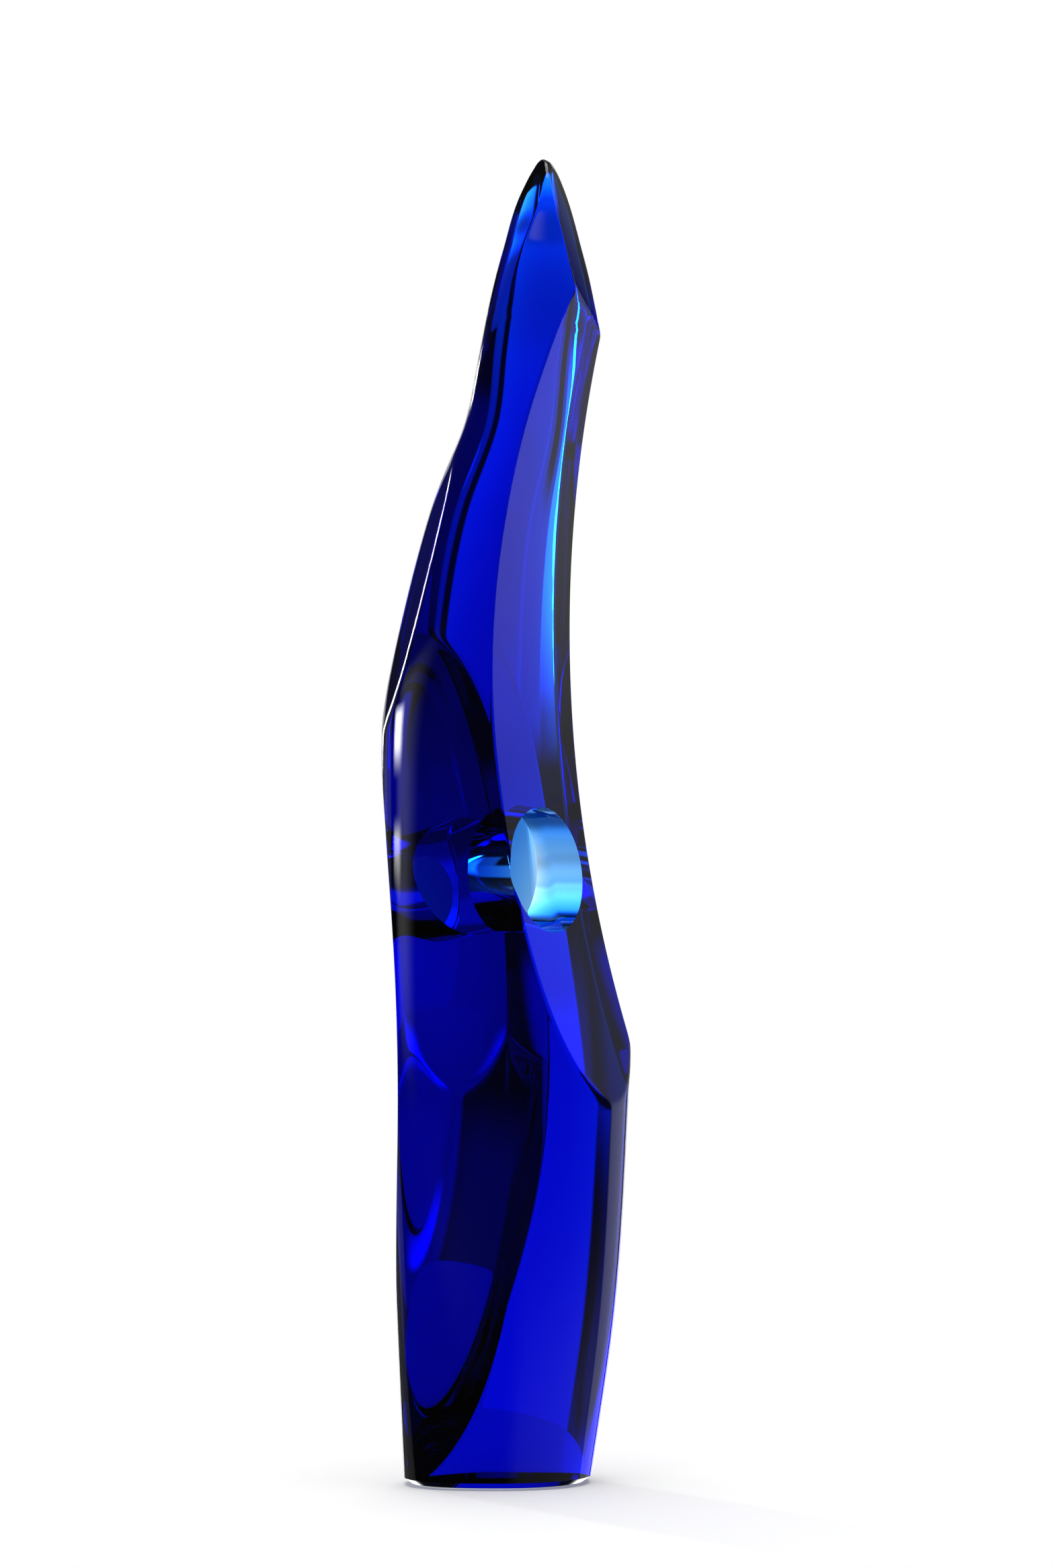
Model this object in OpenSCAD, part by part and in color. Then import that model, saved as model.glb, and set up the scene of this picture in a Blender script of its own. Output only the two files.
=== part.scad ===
// Tall cut-glass sculpture: one solid cobalt-blue casting with an S-shaped sweep,
// ground into large polished facets, with one round polished bore sunk into its
// right-hand facet. It stands on its flat ground base, which carries one thin
// clear pad. Millimetres, +Z up, +X to the viewer's right, -Y towards the viewer.
// The origin is on the resting plane, below the middle of the base.

/* [Blank] */
// Height of the glass
height = 492; // [480:1:505]
// Width of the glass at the base, from side to side
base_width = 69.5; // [66:0.5:74]
// Depth of the glass at the base, from front to back
base_depth = 52; // [48:1:56]
// How square the blank's sections are: 2 is an ellipse
squareness = 2.2; // [2.1:0.1:2.6]
// Height and width of the bevel round the foot
foot_bevel = 2; // [1:0.5:3]

/* [Hollow facets] */
// Direction the right-hand hollow faces in plan, degrees anticlockwise from +X
right_heading = -34; // [-36:1:-32]
// Distance from the upright axis to the deepest line of the right-hand hollow
right_offset = 12.6; // [11.6:0.2:13.6]
// Radius of the grinding wheel that leaves the right-hand hollow
right_radius = 590; // [570:5:610]
// Direction the rear hollow faces in plan, degrees anticlockwise from +X
rear_heading = 136; // [134:1:138]
// Distance from the upright axis to the deepest line of the rear hollow
rear_offset = 7.5; // [7:0.5:10]
// Radius of the grinding wheel that leaves the rear hollow
rear_radius = 600; // [580:5:620]
// Direction the shallow hollow at the right rear faces in plan, degrees anticlockwise from +X
rear_right_heading = 57; // [55:1:59]
// Distance from the upright axis to the deepest line of that hollow
rear_right_offset = 29.9; // [29:0.1:32]
// Radius of the grinding wheel that leaves that hollow
rear_right_radius = 1200; // [1150:10:1250]

/* [Bore] */
// Diameter of the polished bore
bore_diameter = 46.5; // [44:0.5:48]
// Depth of the bore along its axis, from the facet to its flat bottom
bore_depth = 20; // [14:0.5:21]
// Height of the bore's axis above the base of the glass
bore_height = 227; // [222:1:232]

/* [Pad] */
// Thickness of the clear pad under the base
pad_thickness = 0.8; // [0.5:0.1:1.5]
// How far the pad's edge stays inside the base's edge
pad_inset = 5; // [3:0.5:8]

/* [Hidden] */

glass_blue = [0.03, 0.08, 0.75, 0.8];
pad_clear = [0.85, 0.88, 0.9, 0.7];

// Heights of the deepest lines of the three hollows
right_height = 315;
rear_height = 160;
rear_right_height = 320;

// Flat laps: a point on each, the direction it faces in plan, and how far it is tipped up
left_point = [-25, -14, 345];
left_heading = 198;
left_lift = 15.8;
top_right_point = [32, 4, 441];
top_right_heading = -15;
top_right_lift = 14;
top_left_point = [15.6, -1.5, 478];
top_left_heading = 205;
top_left_lift = 18.8;

bore_point = [18.4, -7.1];  // where the bore's axis meets the right-hand hollow, in plan

sides = 80;           // points round each section of the blank
rings = 58;           // sections up the blank
tip_crowding = 1.1;   // how the sections crowd towards the tip
reach = 900;          // larger than the glass, for the cutters
wheel_fn = 1440;      // a large wheel's circle needs many sides

// Stations up the blank. Each holds its share of the height, the left, right, front
// and back edges of the section there, and how far the section's left end is swept
// to the front and its right end to the rear.
stations = [
    [0.000, -0.5 * base_width, 0.5 * base_width, -0.5 * base_depth, 0.5 * base_depth, 4, 2],
    [0.120, -37.0, 43.5, -26.0, 26.0, 14, 8],
    [0.304, -40.0, 49.5, -26.0, 26.0, 19, 12],
    [0.486, -42.5, 53.0, -26.0, 26.0, 18, 12],
    [0.607, -41.0, 53.0, -26.0, 26.0, 16, 10],
    [0.729, -26.5, 48.0, -21.0, 26.0, 8, 6],
    [0.800, -12.0, 45.5, -16.0, 26.0, 6, 5],
    [0.850, -7.0, 42.0, -11.0, 25.5, 4, 4],
    [0.931, 1.0, 36.5, -5.0, 24.5, 2, 2],
    [0.978, 7.5, 29.0, -2.0, 20.0, 0, 0],
    [0.9935, 12.6, 22.0, 3.0, 15.0, 0, 0],
    [0.9985, 14.9, 19.2, 6.4, 12.0, 0, 0],
    [1.000, 16.2, 17.8, 8.2, 10.2, 0, 0]
];
last = len(stations) - 1;

// Slope of column k at station i, weighted by the spans beside it
function span(i) = stations[i + 1][0] - stations[i][0];
function rise(i, k) = (stations[i + 1][k] - stations[i][k]) / span(i);
function slope(i, k) =
    i == 0 ? rise(0, k) :
    i == last ? rise(last - 1, k) :
    (rise(i - 1, k) * span(i) + rise(i, k) * span(i - 1)) / (span(i - 1) + span(i));

// Smooth value of column k at share s of the height
function station_below(s, i = 0) = (i >= last - 1 || s < stations[i + 1][0]) ? i : station_below(s, i + 1);
function eased(i, t, k) =
    (2 * pow(t, 3) - 3 * pow(t, 2) + 1) * stations[i][k]
    + (pow(t, 3) - 2 * pow(t, 2) + t) * span(i) * slope(i, k)
    + (3 * pow(t, 2) - 2 * pow(t, 3)) * stations[i + 1][k]
    + (pow(t, 3) - pow(t, 2)) * span(i) * slope(i + 1, k);
function edge(s, k) = let (i = station_below(s)) eased(i, (s - stations[i][0]) / span(i), k);

// A point on the section at share s of the height and turn a, inset from its edge
function rounded(c) = sign(c) * pow(abs(c), 2 / squareness);
function swept(s, u) = (u < 0 ? -edge(s, 5) : edge(s, 6)) * pow(u, 2);
function section_point(s, a, inset) =
    let (
        mid_x = (edge(s, 1) + edge(s, 2)) / 2,
        half_x = (edge(s, 2) - edge(s, 1)) / 2 - inset,
        mid_y = (edge(s, 3) + edge(s, 4)) / 2,
        half_y = (edge(s, 4) - edge(s, 3)) / 2 - inset,
        u = rounded(cos(a))
    )
    [mid_x + half_x * u, mid_y + swept(s, u) + half_y * rounded(sin(a)), height * s];

// Row 0 is the underside, inside the bevel; row 1 is the top of the bevel; the rest crowd
// towards the tip
function row_share(j) =
    j == 0 ? 0 :
    j == 1 ? foot_bevel / height :
    sin(90 * pow((j - 1) / (rings - 1), tip_crowding));
function row_inset(j) = j == 0 ? foot_bevel : 0;

module cast_blank() {
    points = [for (j = [0:rings], i = [0:sides - 1])
        section_point(row_share(j), 360 * i / sides, row_inset(j))];
    walls = [for (j = [0:rings - 1], i = [0:sides - 1]) each [
        [j * sides + i, (j + 1) * sides + i, (j + 1) * sides + (i + 1) % sides],
        [j * sides + i, (j + 1) * sides + (i + 1) % sides, j * sides + (i + 1) % sides]
    ]];
    bottom = [for (i = [0:sides - 1]) i];
    top = [for (i = [sides - 1:-1:0]) rings * sides + i];
    polyhedron(points = points, faces = concat(walls, [bottom, top]));
}

// The grinding wheel that leaves a hollow facet: a drum lying across the glass
module wheel(heading, offset, radius, waist) {
    rotate([0, 0, heading])
        translate([offset + radius, 0, waist])
            rotate([90, 0, 0])
                cylinder(h = reach, r = radius, center = true, $fn = wheel_fn);
}

// A flat lap that grinds away all beyond a plane through point p. The plane faces
// heading in plan and is tipped up by lift, both in degrees.
module lap(p, heading, lift) {
    translate(p)
        rotate([0, 0, heading])
            rotate([0, -lift, 0])
                translate([0, -reach / 2, -reach / 2])
                    cube(reach);
}

module bore() {
    translate([bore_point.x, bore_point.y, bore_height])
        rotate([0, 0, right_heading])
            rotate([0, 90, 0])
                translate([0, 0, -bore_depth])
                    cylinder(h = reach / 10, d = bore_diameter, $fn = 128);
}

module glass_body() {
    color(glass_blue)
        translate([0, 0, pad_thickness])
            difference() {
                cast_blank();
                wheel(right_heading, right_offset, right_radius, right_height);
                wheel(rear_heading, rear_offset, rear_radius, rear_height);
                wheel(rear_right_heading, rear_right_offset, rear_right_radius, rear_right_height);
                lap(left_point, left_heading, left_lift);
                lap(top_right_point, top_right_heading, top_right_lift);
                lap(top_left_point, top_left_heading, top_left_lift);
                bore();
            }
}

module base_pad() {
    color(pad_clear)
        linear_extrude(pad_thickness)
            polygon([for (i = [0:sides - 1])
                let (p = section_point(0, 360 * i / sides, pad_inset)) [p.x, p.y]]);
}

glass_body();
base_pad();
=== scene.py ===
"""Looks for the tall cut-glass sculpture: its fine polished surface, its glass, the clear pad, the studio."""

import math

import bpy
import numpy as np
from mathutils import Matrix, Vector


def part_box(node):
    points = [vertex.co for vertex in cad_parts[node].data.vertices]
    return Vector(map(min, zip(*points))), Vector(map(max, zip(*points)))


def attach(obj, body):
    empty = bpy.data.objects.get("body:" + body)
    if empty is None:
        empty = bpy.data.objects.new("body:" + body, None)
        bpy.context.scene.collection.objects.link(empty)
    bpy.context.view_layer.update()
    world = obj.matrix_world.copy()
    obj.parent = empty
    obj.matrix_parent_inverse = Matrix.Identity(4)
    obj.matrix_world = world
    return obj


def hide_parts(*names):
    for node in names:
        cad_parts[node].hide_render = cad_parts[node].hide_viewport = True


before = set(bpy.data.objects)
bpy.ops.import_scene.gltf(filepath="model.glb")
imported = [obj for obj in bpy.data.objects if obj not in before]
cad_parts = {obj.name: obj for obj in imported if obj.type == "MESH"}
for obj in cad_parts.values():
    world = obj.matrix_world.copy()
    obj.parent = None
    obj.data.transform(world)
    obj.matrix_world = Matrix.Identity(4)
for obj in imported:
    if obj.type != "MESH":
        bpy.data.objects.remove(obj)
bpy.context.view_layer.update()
glass_low, glass_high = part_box("glass_body")
FOOT = glass_low.z * 1000  # mm, where the glass stands on its pad
HEIGHT = (glass_high.z - glass_low.z) * 1000  # mm
MM = 0.001

# ---------------------------------------------------------------------------------------------- shape, in mm
# The same rules as the CAD part, made finer: share of the height, then the left, right, front and back of the
# section there, and how far its left end is swept to the front and its right end to the rear.
STATIONS = np.array([
    [0.000, -34.75, 34.75, -26.0, 26.0, 4, 2],
    [0.120, -37.0, 43.5, -26.0, 26.0, 14, 8],
    [0.304, -40.0, 49.5, -26.0, 26.0, 19, 12],
    [0.486, -42.5, 53.0, -26.0, 26.0, 18, 12],
    [0.607, -41.0, 53.0, -26.0, 26.0, 16, 10],
    [0.729, -26.5, 48.0, -21.0, 26.0, 8, 6],
    [0.800, -12.0, 45.5, -16.0, 26.0, 6, 5],
    [0.850, -7.0, 42.0, -11.0, 25.5, 4, 4],
    [0.931, 1.0, 36.5, -5.0, 24.5, 2, 2],
    [0.978, 7.5, 29.0, -2.0, 20.0, 0, 0],
    [0.9935, 12.6, 22.0, 3.0, 15.0, 0, 0],
    [0.9985, 14.9, 19.2, 6.4, 12.0, 0, 0],
    [1.000, 16.2, 17.8, 8.2, 10.2, 0, 0],
])
SQUARENESS = 2.2
# Hollow facets: direction in plan, least distance from the upright axis, wheel radius, height of the waist
HOLLOWS = {
    "right": (-34, 12.6, 590, 315),
    "rear": (136, 7.5, 600, 160),
    "rear_right": (57, 29.9, 1200, 320),
}
# Flat facets: a point, the direction in plan, and the lift of the normal above level
LAPS = {
    "left": ((-25, -14, 345), 198, 15.8),
    "top_right": ((32, 4, 441), -15, 14),
    "top_left": ((15.6, -1.5, 478), 205, 18.8),
}
BORE_POINT = (18.4, -7.1, 227)
BORE_RADIUS = 23.25
BORE_DEPTH = 20
BORE_RUN_OUT = 40  # how far the drill reaches out of the glass
EDGE = 0.8  # width of the polished arris between two facets
FOOT_BEVEL = 2
SWEEP_LIMIT = 1.3  # the sweep stops growing this many half widths from a section's middle

# Each section is searched outwards from a point on a share of its left end and a share of its right
LEFT_SHARE, RIGHT_SHARE = 0.572, 0.428
SEARCH_REACH = 80.0
SEARCH_STEPS = 26

# How fine the mesh is
RING_POINTS = 256
FOOT_RINGS, MAIN_RINGS, TIP_RINGS, DRILL_RINGS = 5, 300, 24, 31
TIP_START = 0.97  # share of the height above which the rings crowd towards the tip
FIRST_TIP_RING = 0.05  # where the lowest of them stands on that run
SCAN_POINTS = 1440  # points of the first pass round a section, which finds where it turns
SCAN_WINDOW = 9  # of them, over which the turning is averaged
BY_LENGTH, BY_TURNING = 0.55, 0.45  # what the spacing of a ring's points follows
SHARP_ANGLE = 18  # degrees


def eased(column):
    """A smooth curve through one column of STATIONS, as a function of height in mm."""
    s, y = STATIONS[:, 0], STATIONS[:, column]
    h = np.diff(s)
    d = np.diff(y) / h
    m = np.concatenate([[d[0]], (d[:-1] * h[1:] + d[1:] * h[:-1]) / (h[:-1] + h[1:]), [d[-1]]])

    def curve(z):
        x = np.clip(np.asarray(z, float) / HEIGHT, 0, 1)
        i = np.clip(np.searchsorted(s, x) - 1, 0, len(h) - 1)
        t = (x - s[i]) / h[i]
        return (
            (2 * t**3 - 3 * t**2 + 1) * y[i]
            + (t**3 - 2 * t**2 + t) * h[i] * m[i]
            + (3 * t**2 - 2 * t**3) * y[i + 1]
            + (t**3 - t**2) * h[i] * m[i + 1]
        )

    return curve


left, right, front, back, sweep_left, sweep_right = [eased(k) for k in range(1, 7)]


def blank(x, y, z):
    """How far a point is outside the cast blank, roughly in mm."""
    half_x = (right(z) - left(z)) / 2
    half_y = (back(z) - front(z)) / 2
    u = (x - (left(z) + right(z)) / 2) / half_x
    near = np.clip(u, -SWEEP_LIMIT, SWEEP_LIMIT)
    sweep = np.where(near < 0, -sweep_left(z), sweep_right(z)) * near**2
    v = (y - (front(z) + back(z)) / 2 - sweep) / half_y
    ring = (np.abs(u) ** SQUARENESS + np.abs(v) ** SQUARENESS) ** (1 / SQUARENESS)
    return (ring - 1) * np.minimum(half_x, half_y)


def cos_sin(degrees):
    return math.cos(math.radians(degrees)), math.sin(math.radians(degrees))


def hollow(heading, offset, radius, waist):
    """A wheel-ground facet, as a function that says how far a point is outside it."""
    c, s = cos_sin(heading)

    def outside(x, y, z):
        return c * x + s * y - (offset + radius - np.sqrt(np.maximum(radius**2 - (z - waist) ** 2, 1)))

    return outside


def lap(point, heading, lift):
    """A flat facet, as a function that says how far a point is outside it."""
    c, s = cos_sin(heading)
    cl, sl = cos_sin(lift)
    n = (c * cl, s * cl, sl)

    def outside(x, y, z):
        return n[0] * (x - point[0]) + n[1] * (y - point[1]) + n[2] * (z - point[2])

    return outside


cuts = [blank] + [hollow(*v) for v in HOLLOWS.values()] + [lap(*v) for v in LAPS.values()]


def outside_glass(x, y, z):
    """How far a point is outside the glass: the largest of all the cuts, eased over EDGE where two meet."""
    f = cuts[0](x, y, z)
    for cut in cuts[1:]:
        g = cut(x, y, z)
        share = np.clip(0.5 + 0.5 * (g - f) / EDGE, 0, 1)
        f = f * (1 - share) + g * share + EDGE * share * (1 - share)
    return f + max(0.0, FOOT_BEVEL - z)


def turns_round(count):
    """Evenly spaced angles of a whole turn."""
    return np.linspace(0, 2 * np.pi, count, endpoint=False)


def ring_at(z, turns):
    """Points of the section at height z, at these turns about a point inside it."""
    cx = float(left(z) * LEFT_SHARE + right(z) * RIGHT_SHARE)
    cy = float(front(z) + back(z)) / 2
    c, s = np.cos(turns), np.sin(turns)
    low, high = np.zeros_like(turns), np.full_like(turns, SEARCH_REACH)
    for _ in range(SEARCH_STEPS):
        mid = (low + high) / 2
        inside = outside_glass(cx + mid * c, cy + mid * s, z) <= 0
        low, high = np.where(inside, mid, low), np.where(inside, high, mid)
    r = (low + high) / 2
    return cx + r * c, cy + r * s


def even_ring(z, count):
    """count points round the section at height z, closer together where it turns sharply."""
    turns = turns_round(SCAN_POINTS)
    x, y = ring_at(z, turns)
    dx, dy = np.diff(np.append(x, x[0])), np.diff(np.append(y, y[0]))
    step = np.hypot(dx, dy)
    way = np.unwrap(np.arctan2(dy, dx))
    turn = np.abs(np.diff(np.append(way, way[0] + 2 * np.pi)))
    side = SCAN_WINDOW // 2
    wrapped = np.concatenate([turn[-side:], turn, turn[:side]])
    turn = np.convolve(wrapped, np.ones(SCAN_WINDOW) / SCAN_WINDOW, "valid")
    weight = step / step.sum() * BY_LENGTH + turn / (2 * np.pi) * BY_TURNING
    done = np.concatenate([[0], np.cumsum(weight)])
    shares = np.linspace(0, 1, count, endpoint=False)
    places = np.interp(shares, done / done[-1], np.append(turns, 2 * np.pi))
    x, y = ring_at(z, places)
    return np.stack([x, y, np.full(count, float(z))], 1)


def mesh_object(name, points, faces):
    mesh = bpy.data.meshes.new(name)
    mesh.from_pydata([tuple(p) for p in points], [], faces)
    mesh.update()
    obj = bpy.data.objects.new(name, mesh)
    bpy.context.scene.collection.objects.link(obj)
    return obj


def lofted(name, rings):
    """A closed mesh through the rings, first to last, with a fan at each end."""
    n = rings.shape[1]
    points = rings.reshape(-1, 3)
    faces = []
    for i in range(len(rings) - 1):
        for j in range(n):
            a, b = i * n + j, i * n + (j + 1) % n
            faces.append((a, b, b + n, a + n))
    low, high = len(points), len(points) + 1
    top = (len(rings) - 1) * n
    for j in range(n):
        faces.append((low, (j + 1) % n, j))
        faces.append((high, top + j, top + (j + 1) % n))
    points = np.vstack([points, rings[0].mean(0), rings[-1].mean(0)])
    return mesh_object(name, points, faces)


def drill_object():
    """The round cutter, square to the long front right facet, from the socket's floor outwards."""
    c, s = cos_sin(HOLLOWS["right"][0])
    axis, across, up = Vector((c, s, 0)), Vector((-s, c, 0)), Vector((0, 0, 1))
    mouth = (Vector(BORE_POINT) + Vector((0, 0, FOOT))) * MM
    turns = turns_round(RING_POINTS)
    drill_rings = []
    for depth in np.linspace(-BORE_DEPTH, BORE_RUN_OUT, DRILL_RINGS):
        centre = mouth + axis * depth * MM
        drill_rings.append([
            centre + BORE_RADIUS * MM * (math.cos(t) * across + math.sin(t) * up) for t in turns
        ])
    return lofted("drill", np.array(drill_rings))


def cut_away(obj, cutter):
    """Takes the cutter's solid out of the object, for good, and removes the cutter."""
    cutting = obj.modifiers.new("bore", "BOOLEAN")
    cutting.operation = "DIFFERENCE"
    cutting.solver = "MANIFOLD"
    cutting.object = cutter
    depsgraph = bpy.context.evaluated_depsgraph_get()
    result = bpy.data.meshes.new_from_object(obj.evaluated_get(depsgraph))
    obj.modifiers.clear()
    obj.data = result
    bpy.data.objects.remove(cutter)


tip_run = np.sin(np.linspace(FIRST_TIP_RING, 1, TIP_RINGS) * math.pi / 2)
heights = np.concatenate([
    np.linspace(0, FOOT_BEVEL, FOOT_RINGS),
    np.linspace(FOOT_BEVEL + 1, TIP_START * HEIGHT, MAIN_RINGS),
    HEIGHT * (TIP_START + (1 - TIP_START) * tip_run),
])
rings = np.array([even_ring(z, RING_POINTS) for z in heights])
glass = lofted("glass_surface", (rings + [0, 0, FOOT]) * MM)
cut_away(glass, drill_object())
for polygon in glass.data.polygons:
    polygon.use_smooth = True
glass.data.set_sharp_from_angle(angle=math.radians(SHARP_ANGLE))
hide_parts("glass_body")
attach(glass, "root")

# ------------------------------------------------------------------------------------------------- materials
ABSORBED = (300, 132, 15)  # how strongly the glass takes out red, green and blue light, per metre


def new_material(name, values):
    """A material whose Principled shader has these values; also its nodes, links and shader."""
    material = bpy.data.materials.new(name)
    material.use_nodes = True
    nodes, links = material.node_tree.nodes, material.node_tree.links
    shader = nodes["Principled BSDF"]
    for socket, value in values.items():
        shader.inputs[socket].default_value = value
    return material, nodes, links, shader


def cobalt_glass():
    material, nodes, links, _ = new_material("cobalt_glass", {
        "Base Color": (1, 1, 1, 1),
        "Roughness": 0,
        "IOR": 1.52,
        "Transmission Weight": 1,
    })
    absorption = nodes.new("ShaderNodeVolumeAbsorption")
    strongest = max(ABSORBED)
    absorption.inputs["Density"].default_value = strongest
    absorption.inputs["Color"].default_value = [1 - a / strongest for a in ABSORBED] + [1]
    links.new(absorption.outputs["Volume"], nodes["Material Output"].inputs["Volume"])
    return material


def clear_pad():
    material, nodes, links, shader = new_material("clear_pad", {
        "Roughness": 0.35,
        "IOR": 1.49,
        "Transmission Weight": 0.6,
    })
    place = nodes.new("ShaderNodeTexCoord")
    grain = nodes.new("ShaderNodeTexNoise")
    grain.inputs["Scale"].default_value = 900
    grain.inputs["Detail"].default_value = 3
    tint = nodes.new("ShaderNodeValToRGB")
    tint.color_ramp.elements[0].color = (0.72, 0.76, 0.79, 1)
    tint.color_ramp.elements[1].color = (0.86, 0.88, 0.9, 1)
    bump = nodes.new("ShaderNodeBump")
    bump.inputs["Strength"].default_value = 0.2
    bump.inputs["Distance"].default_value = 0.0002
    links.new(place.outputs["Object"], grain.inputs["Vector"])
    links.new(grain.outputs["Fac"], tint.inputs["Fac"])
    links.new(grain.outputs["Fac"], bump.inputs["Height"])
    links.new(tint.outputs["Color"], shader.inputs["Base Color"])
    links.new(bump.outputs["Normal"], shader.inputs["Normal"])
    return material


glass.data.materials.clear()
glass.data.materials.append(cobalt_glass())
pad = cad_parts["base_pad"]
pad.data.materials.clear()
pad.data.materials.append(clear_pad())

# ---------------------------------------------------------------------------------------------------- studio
scene = bpy.context.scene
scene.view_settings.view_transform = "Standard"
# Light goes through many facets before it leaves the glass
scene.cycles.max_bounces = 32
scene.cycles.transmission_bounces = 32
scene.cycles.glossy_bounces = 24

FLOOR_RADIUS = 0.25
FLOOR_POINTS = 128
floor = mesh_object(
    "floor",
    [(FLOOR_RADIUS * math.cos(t), FLOOR_RADIUS * math.sin(t), 0) for t in turns_round(FLOOR_POINTS)],
    [tuple(range(FLOOR_POINTS))],
)
floor.visible_glossy = False
# The faint glow makes the lit floor as white as the backdrop, so that its edge doesn't show
paint = new_material("pale_floor", {
    "Base Color": (0.9, 0.9, 0.9, 1),
    "Roughness": 0.9,
    "Emission Color": (1, 1, 1, 1),
    "Emission Strength": 0.22,
})[0]
floor.data.materials.append(paint)

# Soft boxes round the object, fixed in the room: heading of the middle (degrees anticlockwise from +X), half its
# width, the softness of its upright edges, lowest and highest elevation, softness of those edges, strength.
# Where boxes overlap, their light adds up.
BOXES = [
    # the broad light behind the glass, in bands
    (91, 25.5, 1, -35, -1, 6, 0.75),
    (91, 25.5, 1, -35, 24, 8, 0.65),
    (91, 25.5, 1, 16, 55, 8, 0.3),
    (91, 25.5, 1, 4, 24, 4, 0.3),
    (91, 25.5, 1, -34, -12, 2, 1.1),
    (91, 25.5, 1, -34, -18, 4, 1.5),
    # narrower lights behind, left of the broad one
    (121, 5, 1, -2.5, 6, 1, 0.9),
    (117.6, 1.7, 0.4, 6, 13, 1, 0.65),
    (124.6, 1.5, 0.4, 6, 13, 1, 0.65),
    (120, 4.5, 1, -35, -12, 3, 1.4),
    # behind right
    (39, 19, 2, -30, 3, 5, 0.4),
    (39, 19, 2, -30, 45, 5, 0.28),
    (43, 13, 2, -30, -14, 2, 4),
    # the thin strip that makes the bright streak, and its weaker neighbour
    (126.6, 0.2, 0.12, 2.5, 12, 3, 1100),
    (125.9, 0.5, 0.3, 1, 10, 3, 6),
    # behind left
    (151, 24, 2, -30, 15, 3, 0.15),
    (152, 2, 1, -6, 1, 1, 1.0),
    # low fills in front, and one to the left
    (330, 50, 10, -40, -8, 4, 0.25),
    (292, 22, 3, -40, -14, 3, 1.1),
    (180, 22, 4, -12, 8, 4, 0.35),
    # front left, for the highlight down the left edge
    (231, 11, 6, 1.5, 7.5, 1.5, 26),
    (248, 14, 10, -3, 14, 3, 0.8),
    # overhead
    (0, 181, 1, 62, 91, 4, 3.5),
]
AMBIENT = 0.02
BACKGROUND = 1.0


def studio(boxes):
    """The world: the boxes light the object, and the camera sees plain white behind it."""
    world = bpy.data.worlds.new("studio")
    scene.world = world
    world.use_nodes = True
    nodes, links = world.node_tree.nodes, world.node_tree.links
    nodes.clear()

    def maths(operation, a, b=None):
        node = nodes.new("ShaderNodeMath")
        node.operation = operation
        for socket, value in zip(node.inputs, (a, b)):
            if value is None:
                continue
            if isinstance(value, (int, float)):
                socket.default_value = value
            else:
                links.new(value, socket)
        return node.outputs[0]

    def step(value, start, end):
        """Goes smoothly from 0 to 1 as the value goes from start to end."""
        node = nodes.new("ShaderNodeMapRange")
        node.interpolation_type = "SMOOTHSTEP"
        links.new(value, node.inputs["Value"])
        node.inputs["From Min"].default_value = start
        node.inputs["From Max"].default_value = end
        return node.outputs["Result"]

    def white_light():
        node = nodes.new("ShaderNodeBackground")
        node.inputs["Color"].default_value = (1, 1, 1, 1)
        return node

    place = nodes.new("ShaderNodeTexCoord")
    parts = nodes.new("ShaderNodeSeparateXYZ")
    links.new(place.outputs["Generated"], parts.inputs[0])
    to_degrees = 180 / math.pi
    elevation = maths("MULTIPLY", maths("ARCSINE", parts.outputs["Z"]), to_degrees)
    heading = maths("MULTIPLY", maths("ARCTAN2", parts.outputs["Y"], parts.outputs["X"]), to_degrees)
    total = None
    for middle, half, soft, low, high, blur, strength in boxes:
        # the angle from the box's middle, wrapped to -180..180
        offset = maths("SUBTRACT", maths("FLOORED_MODULO", maths("ADD", heading, 180 - middle), 360), 180)
        wide = step(maths("ABSOLUTE", offset), half + soft, half - soft)
        above = step(elevation, low - blur, low + blur)
        below = step(elevation, high + blur, high - blur)
        lit = maths("MULTIPLY", maths("MULTIPLY", wide, maths("MULTIPLY", above, below)), strength)
        total = lit if total is None else maths("ADD", total, lit)
    lights = white_light()
    links.new(maths("ADD", total, AMBIENT), lights.inputs["Strength"])
    plain = white_light()
    plain.inputs["Strength"].default_value = BACKGROUND
    shown = nodes.new("ShaderNodeLightPath")
    mix = nodes.new("ShaderNodeMixShader")
    links.new(shown.outputs["Is Camera Ray"], mix.inputs["Fac"])
    links.new(lights.outputs[0], mix.inputs[1])
    links.new(plain.outputs[0], mix.inputs[2])
    output = nodes.new("ShaderNodeOutputWorld")
    links.new(mix.outputs[0], output.inputs["Surface"])


studio(BOXES)

# The camera: level, two metres in front, a little above half way up the object and a little to its right
DISTANCE = 2.0
EYE = 0.2588 + FOOT * MM
SIDE = 0.011
SHOWN_HEIGHT = 0.583  # metres of the object's plane that the picture's height takes in
lens = bpy.data.cameras.new("camera")
camera = bpy.data.objects.new("camera", lens)
scene.collection.objects.link(camera)
camera.location = (SIDE, -DISTANCE, EYE)
camera.rotation_euler = (math.pi / 2, 0, 0)
lens.sensor_fit = "VERTICAL"
lens.sensor_height = 36
lens.lens = lens.sensor_height * DISTANCE / SHOWN_HEIGHT
lens.dof.use_dof = False
scene.camera = camera
